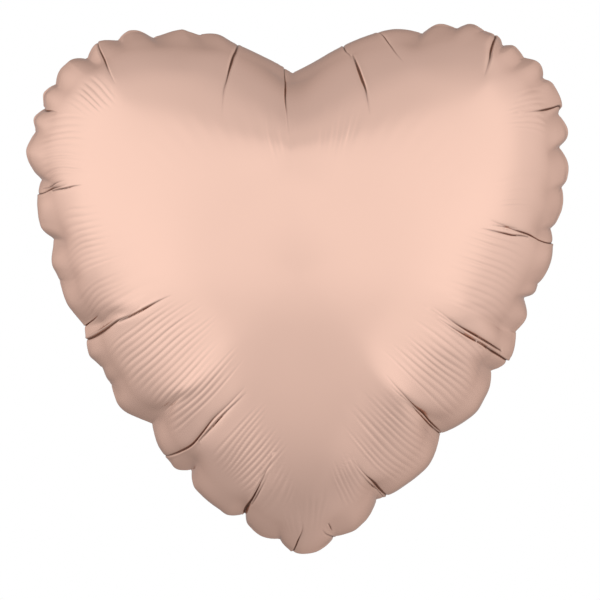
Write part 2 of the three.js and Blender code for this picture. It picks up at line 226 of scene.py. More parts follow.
def inflate():
    """Two sheets of film welded at the rim and blown up by Blender's Cloth, as points in mm."""
    flat, tri, plan = film_grid()
    n = len(flat)
    twin = np.arange(n)
    twin[SPOKES:] = np.arange(n, 2 * n - SPOKES)
    lift = np.minimum(np.repeat(np.arange(len(plan) + 1), plan + [1]) * RING_GAP, 20) * 0.15
    co = np.zeros((2 * n - SPOKES, 3))
    co[:n, 0], co[:n, 2], co[:n, 1] = flat[:, 0], flat[:, 1], -lift
    co[n:, 0], co[n:, 2], co[n:, 1] = flat[SPOKES:, 0], flat[SPOKES:, 1], lift[SPOKES:]
    faces = np.vstack([tri[:, ::-1], twin[tri]])
    scale = 0.01
    me = bpy.data.meshes.new("film")
    me.from_pydata((co * scale).tolist(), [], faces.tolist())
    ob = bpy.data.objects.new("film", me)
    bpy.context.scene.collection.objects.link(ob)
    # The weld is drawn in a little at each pleat before the gas goes in.
    start = co.copy()
    rim = flat[:SPOKES]
    arc = np.arange(SPOKES) / SPOKES
    tangent = np.roll(rim, -1, 0) - np.roll(rim, 1, 0)
    out = np.stack([-tangent[:, 1], tangent[:, 0]], 1) / np.linalg.norm(tangent, axis=1)[:, None]
    for row in SCALLOPS:
        k = arc_of(np.arctan2(row[0] - CX, row[1] - CZ))
        away = ((arc - round(k * SPOKES) / SPOKES + 0.5) % 1 - 0.5) * RIM_LENGTH
        pull = 4.0 * np.exp(-(away / 5.0) ** 2)
        start[:SPOKES, 0] -= out[:, 0] * pull
        start[:SPOKES, 2] -= out[:, 1] * pull
    ob.shape_key_add(name="cut")
    key = ob.shape_key_add(name="drawn_in")
    key.data.foreach_set("co", (start * scale).ravel())
    key.value = 1.0
    cloth = ob.modifiers.new("gas", "CLOTH")
    s = cloth.settings
    s.rest_shape_key = me.shape_keys.key_blocks["cut"]
    s.quality, s.mass, s.air_damping = 8, 0.1, 2.0
    s.tension_stiffness = s.shear_stiffness = 80.0
    s.compression_stiffness, s.bending_stiffness = 1.0, 0.05
    s.tension_damping = s.compression_damping = s.shear_damping = 5.0
    s.bending_damping = 0.5
    s.use_pressure, s.uniform_pressure_force = True, 8.0
    s.effector_weights.gravity = 0
    cloth.collision_settings.use_collision = False
    cloth.collision_settings.use_self_collision = False
    scene = bpy.context.scene
    frames = 34
    scene.frame_start, scene.frame_end = 1, frames
    cloth.point_cache.frame_end = frames
    for f in range(1, frames + 1):
        scene.frame_set(f)
    done = ob.evaluated_get(bpy.context.evaluated_depsgraph_get())
    got = np.empty(len(co) * 3)
    done.data.vertices.foreach_get("co", got)
    got = got.reshape(-1, 3) / scale
    bpy.data.objects.remove(ob)
    bpy.data.meshes.remove(me)
    scene.frame_set(1)
    return plan, got[:n], got[twin]


# ------------------------------------------------------------------ a smooth surface through the blown-up films
def full_rings(plan, pts):
    """Every ring given the same number of points, out of its own, by Fourier series."""
    rows, at = [], 0
    for n in plan:
        ring = pts[at:at + n]
        at += n
        if n < SPOKES:
            f = np.fft.rfft(ring, axis=0)
            f[-1] *= 0.5
            g = np.zeros((SPOKES // 2 + 1, 3), complex)
            g[:len(f)] = f
            ring = np.fft.irfft(g, SPOKES, axis=0) * SPOKES / n
        rows.append(ring)
    rows.append(np.repeat(pts[at:at + 1], SPOKES, 0))
    return np.array(rows)


class Film:
    """A bicubic spline of one blown-up sheet, asked for at any flat point."""

    def __init__(self, rows):
        half = SPOKES // 2
        past = [np.roll(rows[RINGS - k], half, 0) for k in range(1, 5)]
        data = np.concatenate([rows, past])
        m = len(data)
        a = np.zeros((m + 2, m + 2))
        a[0, :3] = a[-1, -3:] = 1, -2, 1
        for i in range(m):
            a[i + 1, i:i + 3] = 1 / 6, 4 / 6, 1 / 6
        rhs = np.zeros((m + 2, SPOKES * 3))
        rhs[1:-1] = data.reshape(m, -1)
        c = np.linalg.solve(a, rhs).reshape(m + 2, SPOKES, 3)
        k = (4 + 2 * np.cos(2 * np.pi * np.arange(SPOKES) / SPOKES)) / 6
        self.c = np.fft.ifft(np.fft.fft(c, axis=1) / k[None, :, None], axis=1).real

    @staticmethod
    def weights(f):
        return ((1 - f) ** 3 / 6, (3 * f ** 3 - 6 * f ** 2 + 4) / 6, (-3 * f ** 3 + 3 * f ** 2 + 3 * f + 1) / 6, f ** 3 / 6)

    def raw(self, arc, rho):
        s, t = np.mod(arc, 1.0) * SPOKES, (1 - rho) * RINGS
        i, j = np.floor(s).astype(int), np.minimum(np.floor(t).astype(int), RINGS)
        ws, wt = self.weights(s - i), self.weights(t - j)
        out = np.zeros((len(s), 3))
        for a in range(4):
            for b in range(4):
                out += (wt[a] * ws[b])[:, None] * self.c[j + a, (i + b - 1) % SPOKES]
        return out


def outline():
    """The blown-up outline as seen from the front, as a closed line."""
    line = []
    for k, row in enumerate(SCALLOPS):
        p, q = np.array(row[:2]), np.array(SCALLOPS[(k + 1) % len(SCALLOPS)][:2])
        u = q - p
        n = np.array([-u[1], u[0]]) / np.linalg.norm(u)
        h = np.array([0.0, *row[2:], 0.0])
        slope = np.gradient(h)
        slope[0], slope[-1] = 2 * (h[1] - h[0]) - slope[1] * 1.0, 2 * (h[-1] - h[-2]) - slope[-2] * 1.0
        for f in np.linspace(0, 6, 49)[:-1]:
            i = int(f)
            v = f - i
            hv = (h[i] * (1 + 2 * v) * (1 - v) ** 2 + slope[i] * v * (1 - v) ** 2
                  + h[i + 1] * v * v * (3 - 2 * v) + slope[i + 1] * v * v * (v - 1))
            line.append(p + u * f / 6 + n * hv)
    return np.array(line)


BINS = 1800
BIN_ANGLE = (np.arange(BINS) + 0.5) / BINS * 2 * np.pi


def reach(points):
    """Farthest radius of a set of (x, z) points in each bin of angle clockwise from straight up."""
    d = points - (CX, CZ)
    k = (np.mod(np.arctan2(d[:, 0], d[:, 1]), 2 * np.pi) / (2 * np.pi) * BINS).astype(int) % BINS
    r = np.zeros(BINS)
    np.maximum.at(r, k, np.hypot(d[:, 0], d[:, 1]))
    got = np.nonzero(r)[0]
    return np.interp(np.arange(BINS), np.r_[got - BINS, got, got + BINS], np.tile(r[got], 3))


def blur(v, bins):
    k = np.minimum(np.arange(BINS), BINS - np.arange(BINS))
    g = np.exp(-0.5 * (k / bins) ** 2)
    return np.fft.irfft(np.fft.rfft(v) * np.fft.rfft(g / g.sum()), BINS)


def around(v, angle):
    return np.interp(np.mod(angle, 2 * np.pi), np.r_[BIN_ANGLE[0] - 2 * np.pi / BINS, BIN_ANGLE, BIN_ANGLE[-1] + 2 * np.pi / BINS], np.r_[v[-1], v, v[0]])


def seen(p):
    """Where the camera sees a point, as (x, z) on the plane of the weld."""
    k = CAMERA_AWAY / (CAMERA_AWAY + p[:, 1])
    return np.stack([VIEW_X + (p[:, 0] - VIEW_X) * k, VIEW_Z + (p[:, 2] - VIEW_Z) * k], 1)


plan, front_points, rear_points = inflate()
films = {}
for side, pts in (("front", front_points), ("rear", rear_points)):
    rows = full_rings(plan, pts)
    # the solver's small wrinkles go; the folds that the film keeps are made one by one below
    k = np.arange(SPOKES // 2 + 1) / SPOKES
    for j in range(RINGS):
        depth = j * RING_GAP
        sd = np.interp(depth, [0, 50, 90, 140], [1.25, 1.1, 0.8, 0.6]) * SPOKES / 256
        rows[j] = np.fft.irfft(np.fft.rfft(rows[j], axis=0) * np.exp(-2 * (np.pi * sd * k) ** 2)[:, None], SPOKES, axis=0)
    for _ in range(2):
        rows[2:-1] = (rows[1:-2] + 2 * rows[2:-1] + rows[3:]) / 4
    # under the cleft the film is drawn smooth between the lobes
    from_cleft = ((np.arange(SPOKES) / SPOKES + 0.5) % 1 - 0.5) * RIM_LENGTH
    calm = rows.copy()
    for j in range(RINGS):
        calm[j] = np.fft.irfft(np.fft.rfft(rows[j], axis=0) * np.exp(-2 * (np.pi * 3.6 * SPOKES / 256 * k) ** 2)[:, None], SPOKES, axis=0)
    for _ in range(3):
        calm[2:-1] = (calm[1:-2] + 2 * calm[2:-1] + calm[3:]) / 4
    for j in range(RINGS):
        depth = j * RING_GAP
        w = np.exp(-(from_cleft / 34) ** 2) * (1 - smooth(150, 205, depth)) * (0.7 if j == 0 else 1.0)
        # and at two pleats low on the sides, which the solver folds over on themselves
        for px, pz in ((97.5, 82.6), (-109.0, 90.3)):
            away = ((np.arange(SPOKES) / SPOKES - arc_of(np.arctan2(px - CX, pz - CZ)) + 0.5) % 1 - 0.5) * RIM_LENGTH
            w = np.maximum(w, 0.85 * np.exp(-(away / 17) ** 2) * (1 - smooth(36, 80, depth)))
        rows[j] = rows[j] * (1 - w[:, None]) + calm[j] * w[:, None]
    rows[..., 1] *= 102.7 / np.abs(rows[..., 1]).max()
    films[side] = Film(rows)

# The pleats' places at the rim turn to where the measured ones are, and the outline follows them.
PLEAT_ARC = np.array([round(arc_of(np.arctan2(r[0] - CX, r[1] - CZ)) * SPOKES) / SPOKES for r in SCALLOPS])
at = films["front"].raw(PLEAT_ARC, np.ones(len(PLEAT_ARC)))
want = np.array([np.arctan2(r[0] - CX, r[1] - CZ) for r in SCALLOPS])
turn = (want - np.arctan2(at[:, 0] - CX, at[:, 2] - CZ) + np.pi) % (2 * np.pi) - np.pi
order = np.argsort(PLEAT_ARC)
TURN_X = np.r_[PLEAT_ARC[order][-1] - 1, PLEAT_ARC[order], PLEAT_ARC[order][0] + 1]
TURN_Y = np.r_[turn[order][-1], turn[order], turn[order][0]]
broad, fine = np.zeros(BINS), np.zeros(BINS)


def shaped(film, p):
    """The blown-up place of flat points, with the outline drawn to the measured one."""
    arc, rho, depth = polar_of(p)
    q = films[film].raw(arc, rho)
    x, z = q[:, 0] - CX, q[:, 2] - CZ
    a, r = np.arctan2(x, z), np.hypot(x, z)
    a = a + np.interp(arc, TURN_X, TURN_Y) * (1 - smooth(10, 75, depth))
    r = r * (1 + around(broad, a) * (1 - smooth(15, 85, depth)) + around(fine, a) * (1 - smooth(4, 48, depth)))
    # the front film stands a little proud of the weld, which is folded back out of sight
    r = r - 0.9 * (1 - (smooth(0, 2.5, depth) if film == "front" else smooth(6, 20, depth)))
    if film == "front":                    # it swells out beside the weld instead of leaving it flat
        r = r + 2.1 * smooth(0, 5, depth) * (1 - smooth(11, 42, depth))
    out = np.stack([CX + r * np.sin(a), q[:, 1], CZ + r * np.cos(a)], 1)
    # room for the neck where it leaves the tip
    tip = np.exp(-(np.abs(out[:, 0]) / 22) ** 4) * (out[:, 2] < 90)
    out[:, 2] += 4.6 * tip * (1 - (smooth(0, 4, depth) if film == "front" else smooth(8, 34, depth)))
    return out


TARGET = reach(even(outline(), 12000))
edge_arc, edge_depth = np.meshgrid(np.arange(3000) / 3000, np.r_[0:12:1.0, 12:45:2.2])
edge_flat = cut_point(edge_arc.ravel(), edge_depth.ravel())
for _ in range(4):
    now = reach(np.vstack([seen(shaped("front", edge_flat)), seen(shaped("rear", edge_flat))]))
    miss = TARGET / now - 1
    low = blur(miss, 14)
    broad = broad + low
    fine = fine + blur(miss - low, 1.6)
now = reach(np.vstack([seen(shaped("front", edge_flat)), seen(shaped("rear", edge_flat))]))
print("outline off by rms mm", round(float(np.sqrt(np.mean((now - TARGET) ** 2))), 2), "most", round(float(np.abs(now - TARGET).max()), 2), "turn deg", round(float(np.degrees(np.abs(turn).max())), 1))


# ------------------------------------------------------------------ folds and ripples, laid out in the flat
table_arc, table_depth = np.meshgrid(np.arange(720) / 720, np.r_[0:30:1.5, 30:150:3.0])
table_flat = cut_point(table_arc.ravel(), table_depth.ravel())
table_seen = seen(shaped("front", table_flat))
table_flat, table_seen = table_flat[::1], table_seen[::1]


def flat_of(points):
    """The flat points of the front film that the camera sees at given places."""
    pts = np.asarray(points, float)
    out = np.array([table_flat[np.argmin(((table_seen - p) ** 2).sum(1))] for p in pts])
    for _ in range(3):
        q = seen(shaped("front", out))
        qx = seen(shaped("front", out + (0.5, 0))) - q
        qz = seen(shaped("front", out + (0, 0.5))) - q
        det = qx[:, 0] * qz[:, 1] - qx[:, 1] * qz[:, 0]
        e = pts - q
        ok = np.abs(det) > 0.02
        step = np.stack([(e[:, 0] * qz[:, 1] - e[:, 1] * qz[:, 0]), (qx[:, 0] * e[:, 1] - qx[:, 1] * e[:, 0])], 1)
        step = np.where(ok[:, None], step / np.where(ok, det, 1)[:, None] * 0.5, 0)
        out = out + np.clip(step, -1.5, 1.5)
    return out


def curve_through(points, gap):
    """A smooth line through points, sampled every gap mm."""
    p = np.asarray(points, float)
    if len(p) > 2:
        e = np.vstack([2 * p[0] - p[1], p, 2 * p[-1] - p[-2]])
        line = []
        for i in range(1, len(e) - 2):
            for v in np.linspace(0, 1, 12, endpoint=False):
                a, b, c, d = e[i - 1:i + 3]
                line.append(0.5 * (2 * b + (c - a) * v + (2 * a - 5 * b + 4 * c - d) * v * v + (3 * b - 3 * c + d - a) * v ** 3))
        line.append(p[-1])
        p = np.array(line)
    s = np.r_[0, np.cumsum(np.linalg.norm(np.diff(p, axis=0), axis=1))]
    t = np.linspace(0, s[-1], max(3, int(s[-1] / gap) + 1))
    return np.stack([np.interp(t, s, p[:, 0]), np.interp(t, s, p[:, 1])], 1), t


class Fold:
    def __init__(self, path, outer, middle, inner, width, to_rim, lean=1.0):
        self.line, self.s = curve_through(path, 1.25)
        self.length = self.s[-1]
        self.depths, self.width, self.to_rim, self.lean = (outer, middle, inner), width, to_rim, lean
        self.low, self.high = self.line.min(0) - 9, self.line.max(0) + 9

    def depth(self, s):
        """How deep the fold is at a distance along it, from the rim to where it dies out."""
        u = np.clip(s / self.length, 0, 1)
        o, m, i = self.depths
        return np.interp(u, [0, 0.14, 0.34, 0.52, 0.66, 0.85, 1.0], [o, 0.6 * o + 0.4 * m, m, m, 0.5 * (m + i), i * 0.8, 0.0])

    def near(self, p):
        """Signed distance to the line and distance along it, for the points within reach."""
        k = np.nonzero(((p > self.low) & (p < self.high)).all(1))[0]
        best, sign, along = np.full(len(k), 99.0), np.ones(len(k)), np.zeros(len(k))
        q = p[k]
        for i in range(len(self.line) - 1):
            a, b = self.line[i], self.line[i + 1]
            u = b - a
            L = np.linalg.norm(u)
            if L < 1e-6:
                continue
            v = np.clip(((q - a) @ u) / L ** 2, 0, 1)
            e = q - a - v[:, None] * u
            d = np.hypot(e[:, 0], e[:, 1])
            better = d < best - 1e-9
            side = np.sign(u[0] * e[:, 1] - u[1] * e[:, 0])
            best = np.where(better, d, best)
            sign = np.where(better, np.where(side == 0, 1, side), sign)
            along = np.where(better, self.s[i] + v * L, along)
        keep = best < 8
        return k[keep], (best * sign)[keep], along[keep]

    def profile(self, d, s):
        """A crisp valley, steep on one side, with the film standing a little proud beside it."""
        w = self.width
        d = d * self.lean
        steep, gentle = 0.42 * w, 1.25 * w
        valley = np.where(d > 0, np.exp(-np.abs(d) / steep), np.exp(-np.abs(d) / gentle))
        lip = 0.30 * np.exp(-((d - 1.5 * w) / (0.8 * w)) ** 2)
        return (lip - valley) * self.depth(s)


OFFSETS = (0, 0.2, 0.48, 0.85, 1.35, 2.0, 2.9)


def fold_points(fold):
    rows = []
    t = np.gradient(fold.line, axis=0)
    t /= np.linalg.norm(t, axis=1)[:, None] + 1e-9
    n = np.stack([-t[:, 1], t[:, 0]], 1)
    for o in OFFSETS:
        for sg in ((1,) if o == 0 else (1, -1)):
            rows.append(fold.line + n * sg * o * max(fold.width, 0.7))
    return rows


class Ripple:
    def __init__(self, quad, count, high, seed):
        self.q = quad                      # outer1, inner1, outer2, inner2
        self.count, self.high, self.seed = count, high, seed
        self.low, self.high_box = quad.min(0) - 1, quad.max(0) + 1

    def point(self, a, b):
        o1, i1, o2, i2 = self.q
        a, b = a[:, None], b[:, None]
        return (1 - a) * ((1 - b) * o1 + b * i1) + a * ((1 - b) * o2 + b * i2)

    def inside(self, p):
        k = np.nonzero(((p > self.low) & (p < self.high_box)).all(1))[0]
        a, b = np.full(len(k), 0.5), np.full(len(k), 0.5)
        o1, i1, o2, i2 = self.q
        for _ in range(6):
            r = self.point(a, b) - p[k]
            da = (1 - b)[:, None] * (o2 - o1) + b[:, None] * (i2 - i1)
            db = (1 - a)[:, None] * (i1 - o1) + a[:, None] * (i2 - o2)
            det = da[:, 0] * db[:, 1] - da[:, 1] * db[:, 0]
            det = np.where(np.abs(det) < 1e-6, 1e-6, det)
            a = a - np.clip((r[:, 0] * db[:, 1] - r[:, 1] * db[:, 0]) / det, -0.5, 0.5)
            b = b - np.clip((da[:, 0] * r[:, 1] - da[:, 1] * r[:, 0]) / det, -0.5, 0.5)
        keep = (a > 0) & (a < 1) & (b > 0) & (b < 1)
        return k[keep], a[keep], b[keep]

    def height(self, a, b):
        w = a * self.count + 0.22 * wobble(a * 1.3, b * 0.8, self.seed, 2)
        ridge = np.abs(np.sin(np.pi * w)) ** 0.85 - 0.66
        # each ridge has its own length and height
        r = np.random.default_rng(self.seed + 7)
        tall = r.uniform(0.6, 1.25, self.count + 4)
        near_end, far_end = r.uniform(0.0, 0.10, self.count + 4), r.uniform(0.80, 1.0, self.count + 4)
        k = np.clip(np.floor(w).astype(int) + 2, 0, self.count + 3)
        f = w - np.floor(w)
        mix = smooth(0, 1, f)
        k2 = np.clip(k + 1, 0, self.count + 3)
        pick = lambda v: v[k] * (1 - mix) + v[k2] * mix
        along = smooth(pick(near_end) - 0.05, pick(near_end) + 0.20, b) * (1 - smooth(pick(far_end) - 0.32, pick(far_end), b))
        side = smooth(0, 0.07, a) * (1 - smooth(0.93, 1, a))
        return self.high * ridge * along * side * pick(tall)

    def grid(self):
        o1, i1, o2, i2 = self.q
        across, down = np.linalg.norm(o1 - o2), 0.5 * (np.linalg.norm(o1 - i1) + np.linalg.norm(o2 - i2))
        a, b = np.meshgrid((np.arange(self.count * 6) + 0.5) / (self.count * 6), np.linspace(0.01, 0.99, max(4, int(down / 2.6))))
        return self.point(a.ravel(), b.ravel())


def rim_arc_near(p):
    d = np.asarray(p) - (CX, CZ)
    return float(arc_of(np.arctan2(d[0], d[1])))


folds = {"front": [], "rear": []}
rng = np.random.default_rng(20)
for outer, middle, inner, width, at_rim, path in FOLDS:
    p = flat_of(path)
    if at_rim:
        (a1, a2), _, (d1, d2) = polar_of(p[1:3])
        a0 = a1 - ((a2 - a1 + 0.5) % 1 - 0.5) * np.clip(d1 / max(d2 - d1, 1.0), 0, 1.5)
        gap = ((PLEAT_ARC - a0 + 0.5) % 1 - 0.5) * RIM_LENGTH
        near = np.argmin(np.abs(gap))
        p[0] = cut_point(PLEAT_ARC[near] if abs(gap[near]) < 6.5 else a0)
    lean = 1.0 if rng.random() < 0.55 else -1.0
    folds["front"].append(Fold(p, outer, middle, inner, width, at_rim, lean))
    # The rear film folds at the same places of the rim, each in its own direction.
    ang, grow = rng.uniform(-0.16, 0.16), rng.uniform(0.7, 1.2)
    c, s = math.cos(ang), math.sin(ang)
    q = p[0] + (p - p[0]) @ np.array([[c, s], [-s, c]]) * grow
    folds["rear"].append(Fold(q, outer, middle * rng.uniform(0.7, 1.1), inner * rng.uniform(0.6, 1.2), width, at_rim, lean))
# Each pleat in the rim without a long fold runs on inwards for a short way.
starts = [rim_arc_near(f.line[0]) for f in folds["front"] if f.to_rim]
for k, row in enumerate(SCALLOPS):
    arc = PLEAT_ARC[k]
    if min(abs((arc - s + 0.5) % 1 - 0.5) for s in starts) * RIM_LENGTH < 7:
        continue
    length, deep = rng.uniform(9, 19), rng.uniform(0.25, 0.5)
    for side in ("front", "rear"):
        inward = cut_point(arc, length * rng.uniform(0.85, 1.15))
        along = cut_point(arc + 0.001) - cut_point(arc)
        along /= np.linalg.norm(along)
        tip = inward + along * rng.uniform(-0.22, 0.22) * length
        mid = 0.5 * (cut_point(arc) + tip) + along * rng.uniform(-0.5, 0.5)
        folds[side].append(Fold([cut_point(arc), mid, tip], deep, 0.7 * deep, 0.2, 0.8, True))
ripples = {"front": [], "rear": []}
for k, (corners, count, high) in enumerate(RIPPLES):
    q = flat_of(corners)
    ripples["front"].append(Ripple(q, count, high, 100 + k))
    ripples["rear"].append(Ripple(q + rng.uniform(-5, 5, 2), count, high * rng.uniform(0.7, 1.1), 300 + k))

RIM_STARTS = [(rim_arc_near(f.line[0]), f) for f in folds["front"] if f.to_rim]


def rim_push(arc):
    """How far the weld is drawn in at the folds, the same for both films."""
    out = np.zeros(len(arc))
    for a, f in RIM_STARTS:
        d = ((arc - a + 0.5) % 1 - 0.5) * RIM_LENGTH
        out += f.profile(d, np.zeros(len(arc))) * (np.abs(d) < 9)
    return out


def spread(side):
    """The flat points of one film: rows along folds and ripples, rings elsewhere, and the rim."""
    coarse = 1.0
    rim_n = 1500
    arcs = list(np.arange(rim_n) / rim_n)
    for a, f in RIM_STARTS:
        arcs = [v for v in arcs if abs((v - a + 0.5) % 1 - 0.5) * RIM_LENGTH > 3.1 * f.width]
    for a, f in RIM_STARTS:
        arcs += [(a + sg * o * f.width / RIM_LENGTH) % 1 for o in OFFSETS for sg in ((1,) if o == 0 else (1, -1))]
    arcs = np.unique(np.round(np.sort(arcs), 7))
    arcs = arcs[np.r_[True, np.diff(arcs) * RIM_LENGTH > 0.12]]
    rim = cut_point(arcs)
    claimed = []
    for f in folds[side]:
        rows = np.vstack(fold_points(f))
        _, rho, depth = polar_of(rows)
        rows = rows[depth > 0.45]
        if claimed:
            taken = np.vstack(claimed)
            keep = np.ones(len(rows), bool)
            for g in folds[side][:len(claimed)]:
                k, d, _ = g.near(rows)
                keep[k[np.abs(d) < 1.3 * g.width]] = False
            rows = rows[keep]
        claimed.append(rows)
    fold_rows = np.vstack(claimed)
    wave_rows = []
    for r in ripples[side]:
        g = r.grid()
        for other in ripples[side]:
            if other is r:
                break
            k, _, _ = other.inside(g)
            keep = np.ones(len(g), bool)
            keep[k] = False
            g = g[keep]
        wave_rows.append(g)
    wave_rows = np.vstack(wave_rows)
    base, depth, k = [], 0.9, 0
    limit = cut_radius(CUT_ANGLE).mean()
    while depth < limit - 2:
        h = float(np.interp(depth, [0, 12, 25, 60, 110, 200], [1.05, 1.25, 1.7, 2.1, 3.0, 3.6])) * coarse
        rho = 1 - depth / limit
        n = max(6, int(RIM_LENGTH * rho / h))
        a = cut_radius(0)
        p = (cut_point((np.arange(n) + 0.5 * (k % 2)) / n) - (CX, CZ)) * rho + (CX, CZ)
        base.append(p)
        depth += h * 0.9
        k += 1
    base.append(np.array([[CX, CZ]]))
    base = np.vstack(base)

    def clear(points, rows_too):
        keep = np.ones(len(points), bool)
        for f in folds[side]:
            kk, d, _ = f.near(points)
            keep[kk[np.abs(d) < OFFSETS[-1] * max(f.width, 0.7) + 0.5]] = False
        if rows_too:
            for r in ripples[side]:
                kk, _, _ = r.inside(points)
                keep[kk] = False
        _, _, dep = polar_of(points)
        keep &= dep > 0.6
        return points[keep]

    inner = np.vstack([fold_rows, clear(wave_rows, False), clear(base, True)])
    pts = np.vstack([rim, inner])
    verts, _, tris, *_ = delaunay_2d_cdt([tuple(map(float, v)) for v in pts], [], [list(range(len(rim)))[::-1]], 1, 1e-4)
    return np.array([tuple(v) for v in verts]), np.array(tris)


def surface(side, p, extra=True):
    """Final place and outward normal of flat points of a film, and a mask along the folds where shade is painted into
    the colour.
    """
    s0 = shaped(side, p)
    step = 0.35
    inward = (np.array([CX, CZ]) - p)
    inward /= np.linalg.norm(inward, axis=1)[:, None] + 1e-9
    across = np.stack([-inward[:, 1], inward[:, 0]], 1)
    a = shaped(side, p + inward * step) - s0
    b = shaped(side, p + across * step) - shaped(side, p - across * step)
    n = np.cross(a, b)
    n /= np.linalg.norm(n, axis=1)[:, None] + 1e-12
    flip = np.sign(n[:, 1].mean()) != (-1 if side == "front" else 1)
    n = -n if flip else n
    if not extra:
        return s0, n, None
    arc, _, depth = polar_of(p)
    push = np.zeros(len(p))
    fold_shade_mask = np.zeros(len(p))
    for r in ripples[side]:
        k, u, v = r.inside(p)
        if len(k):
            push[k] += r.height(u, v)
    for f in folds[side]:
        k, d, s = f.near(p)
        if len(k):
            beyond = (s <= 0) & (not f.to_rim)
            push[k] += np.where(beyond, 0, f.profile(d, s))
            # painted shade: the mask is strongest in each fold's valley and darkens the foil's colour there
            fold_shade_mask[k] = np.maximum(fold_shade_mask[k], np.exp(-(np.abs(d) / (0.55 * f.width)) ** 1.5) * np.clip(f.depth(s) / 1.0, 0, 1))
    out = np.stack([s0[:, 0] - CX, s0[:, 2] * 0, s0[:, 2] - CZ], 1)
    tx = cut_point(arc + 0.0005) - cut_point(arc - 0.0005)
    out = np.stack([-tx[:, 1], tx[:, 0] * 0, tx[:, 0]], 1)
    out /= np.linalg.norm(out, axis=1)[:, None]
    w = smooth(0.0, 4.0, depth)[:, None]
    move = w * n * push[:, None] + (1 - w) * out * rim_push(arc)[:, None]
    return s0 + move, n, fold_shade_mask


def make(name, co, faces, attrs=(), smooth_shade=True):
    me = bpy.data.meshes.new(name)
    me.from_pydata((np.asarray(co) * MM).tolist(), [], np.asarray(faces).tolist() if not isinstance(faces, list) else faces)
    for key, v in attrs:
        a = me.attributes.new(key, "FLOAT", "POINT")
        a.data.foreach_set("value", np.asarray(v, np.float32))
    if smooth_shade:
        me.polygons.foreach_set("use_smooth", np.ones(len(me.polygons), bool))
    me.update()
    ob = bpy.data.objects.new(name, me)
    bpy.context.scene.collection.objects.link(ob)
    return ob


def thin(name, rows, normals, thick):
    """A closed thin film from a grid of points and normals: both faces and the edge round them."""
    rows, normals = np.asarray(rows), np.asarray(normals)
    h, w = rows.shape[:2]
    top, bottom = rows + normals * thick / 2, rows - normals * thick / 2
    co = np.vstack([top.reshape(-1, 3), bottom.reshape(-1, 3)])
    idx = np.arange(h * w).reshape(h, w)
    n = h * w
    faces = []
    for i in range(h - 1):
        for j in range(w - 1):
            a, b, c, d = idx[i, j], idx[i, j + 1], idx[i + 1, j + 1], idx[i + 1, j]
            faces.append((int(a), int(b), int(c), int(d)))
            faces.append((int(n + d), int(n + c), int(n + b), int(n + a)))
    ring = list(idx[0, :]) + list(idx[1:, -1]) + list(idx[-1, -2::-1]) + list(idx[-2:0:-1, 0])
    for a, b in zip(ring, ring[1:] + ring[:1]):
        faces.append((int(b), int(a), int(n + a), int(n + b)))
    ob = make(name, co, faces)
    return ob


# ------------------------------------------------------------------ the two foils
pieces = {}
for side in ("front", "rear"):
    flat, tris = spread(side)
    place, normal, fold_shade_mask = surface(side, flat)
    order3 = tris if side == "front" else tris[:, ::-1]
    # every face turned to face out of the balloon
    a, b, c = (flat[order3[:, k]] for k in range(3))
    turned = ((b - a)[:, 0] * (c - a)[:, 1] - (b - a)[:, 1] * (c - a)[:, 0]) < 0
    if turned.mean() > 0.5 and side == "front" or turned.mean() < 0.5 and side == "rear":
        order3 = order3[:, ::-1]
    _, _, depth = polar_of(flat)
    # the fold mask goes on as an attribute, which the material reads to paint shade into the folds
    ob = make(side + "_foil_skin", place, order3, [("fold_shade_mask", fold_shade_mask), ("edge", np.exp(-depth / 9.0))])
    pieces[side + "_foil"] = ob
    print(side, "foil", len(flat), "points", len(tris), "faces")

# ------------------------------------------------------------------ the weld, a crimped strip folded back over the rear foil
n = 1500
arc = np.arange(n) / n
strip, strip_n = [], []
for v in (0.0, 0.5, 1.1, 1.9, 2.8, 3.7, 4.6, 5.5):
    flat = cut_point(arc, max(v, 0.02))
    p, nn, _ = surface("rear", flat)
    crimp = 0.30 * np.sin(2 * np.pi * arc * 216) + 0.22 * np.sin(2 * np.pi * arc * 131 + 1.0)
    lift = 0.16 + 0.36 * smooth(0.5, 5.5, v) * (1 + crimp) + 0.07 * smooth(0.5, 2.0, v) * np.sin(2 * np.pi * arc * 731)
    t = cut_point(arc + 0.0005) - cut_point(arc - 0.0005)
    out = np.stack([-t[:, 1], t[:, 0] * 0, t[:, 0]], 1)
    out /= np.linalg.norm(out, axis=1)[:, None]
    u = smooth(0, 2.5, v)
    direction = nn * u + out * (1 - u)
    direction /= np.linalg.norm(direction, axis=1)[:, None]
    strip.append(p + direction * lift[:, None])
    strip_n.append(direction)
strip, strip_n = np.array(strip), np.array(strip_n)
thick = 0.16
co, faces = [], []
m = len(strip)
for sg in (1, -1):
    co.append((strip + sg * strip_n * thick / 2).reshape(-1, 3))
co = np.vstack(co)
N = m * n
for i in range(m - 1):
    for j in range(n):
        a, b, c, d = i * n + j, i * n + (j + 1) % n, (i + 1) * n + (j + 1) % n, (i + 1) * n + j
        faces.append((a, b, c, d))
        faces.append((N + d, N + c, N + b, N + a))
for j in range(n):
    a, b = j, (j + 1) % n
    faces.append((b, a, N + a, N + b))
    a, b = (m - 1) * n + j, (m - 1) * n + (j + 1) % n
    faces.append((a, b, N + b, N + a))
pieces["edge_seal"] = make("edge_seal_strip", co, faces)


# ------------------------------------------------------------------ the filling neck behind the tip
def neck_line(s):
    """The neck's middle line in (y, z) and its heading."""
    s = np.asarray(s, float)
    h0, turn_by, r = math.radians(17), math.radians(29), 120.0
    bend = r * turn_by
    u = np.clip(s - 6, 0, bend)
    h = h0 + u / r
    y = 1.2 + np.minimum(s, 6) * math.cos(h0) + r * (np.sin(h) - math.sin(h0)) + np.maximum(s - 6 - bend, 0) * np.cos(h)
    z = -2.4 + np.minimum(s, 6) * math.sin(h0) - r * (np.cos(h) - math.cos(h0)) + np.maximum(s - 6 - bend, 0) * np.sin(h)
    z = z + 3.9 * (1 - smooth(0, 16, s))
    return y, z, h


